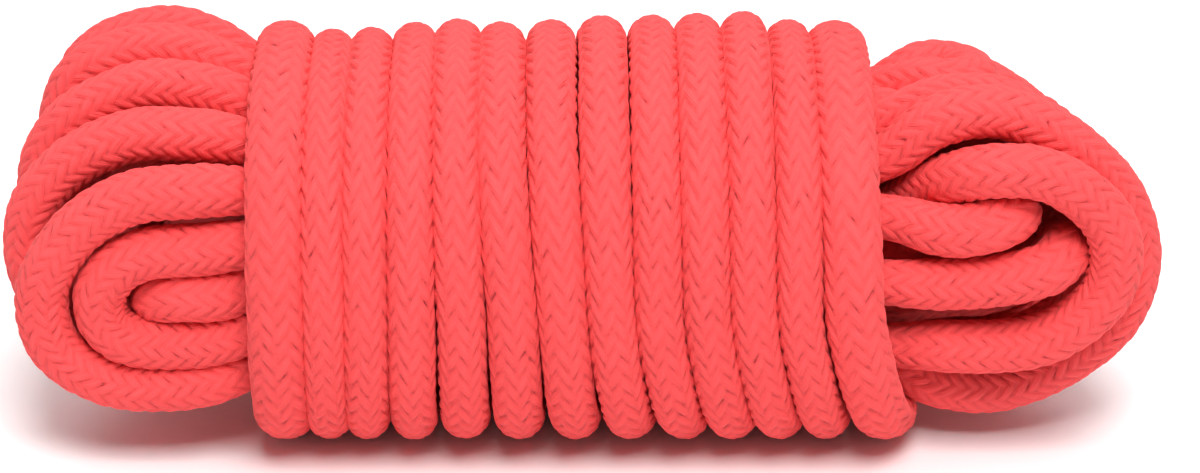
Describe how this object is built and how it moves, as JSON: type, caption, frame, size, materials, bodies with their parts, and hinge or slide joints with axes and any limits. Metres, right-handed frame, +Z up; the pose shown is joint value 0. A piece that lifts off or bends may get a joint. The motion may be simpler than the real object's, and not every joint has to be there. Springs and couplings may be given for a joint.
{
  "type": "lead rope",
  "caption": "Soft braided cotton lead rope wound up as a hank, with bights at both ends and a wrapped middle.",
  "frame": {"origin": "centre of the hank's footprint, on the surface it lies on", "axes": "+X along the hank from its left bights to its right bights, +Z up, the front is -Y"},
  "size_m": [0.1708, 0.0632, 0.0606],
  "materials": {
    "rope_braid": "soft matt braided cotton, coral red",
    "core_yarn": "straight unbleached cotton yarns",
    "whipping_thread": "waxed thread wound close"
  },
  "bodies": {
    "root": {"end_cores": "core_yarn", "end_tail": "rope_braid", "end_whipping": "whipping_thread", "frapping_turn_01": "rope_braid", "frapping_turn_02": "rope_braid", "frapping_turn_03": "rope_braid", "frapping_turn_04": "rope_braid", "frapping_turn_05": "rope_braid", "frapping_turn_06": "rope_braid", "frapping_turn_07": "rope_braid", "frapping_turn_08": "rope_braid", "frapping_turn_09": "rope_braid", "frapping_turn_10": "rope_braid", "frapping_turn_11": "rope_braid", "frapping_turn_12": "rope_braid", "frapping_turn_13": "rope_braid", "frapping_turn_cores": "core_yarn", "lead_into_turns": "rope_braid", "left_bight_01": "rope_braid", "left_bight_02": "rope_braid", "left_bight_03": "rope_braid", "left_bight_04": "rope_braid", "left_bight_05": "rope_braid", "left_bight_06": "rope_braid", "left_bight_07": "rope_braid", "left_bight_08": "rope_braid", "left_bight_09": "rope_braid", "left_bight_10": "rope_braid", "left_bight_11": "rope_braid", "left_bight_12": "rope_braid", "left_bight_13": "rope_braid", "left_bight_cores": "core_yarn", "right_bight_01": "rope_braid", "right_bight_02": "rope_braid", "right_bight_03": "rope_braid", "right_bight_04": "rope_braid", "right_bight_05": "rope_braid", "right_bight_06": "rope_braid", "right_bight_07": "rope_braid", "right_bight_08": "rope_braid", "right_bight_09": "rope_braid", "right_bight_10": "rope_braid", "right_bight_11": "rope_braid", "right_bight_12": "rope_braid", "right_bight_13": "rope_braid", "right_bight_14": "rope_braid", "right_bight_cores": "core_yarn", "start_tail": "rope_braid", "start_whipping": "whipping_thread"}
  },
  "joints": []
}
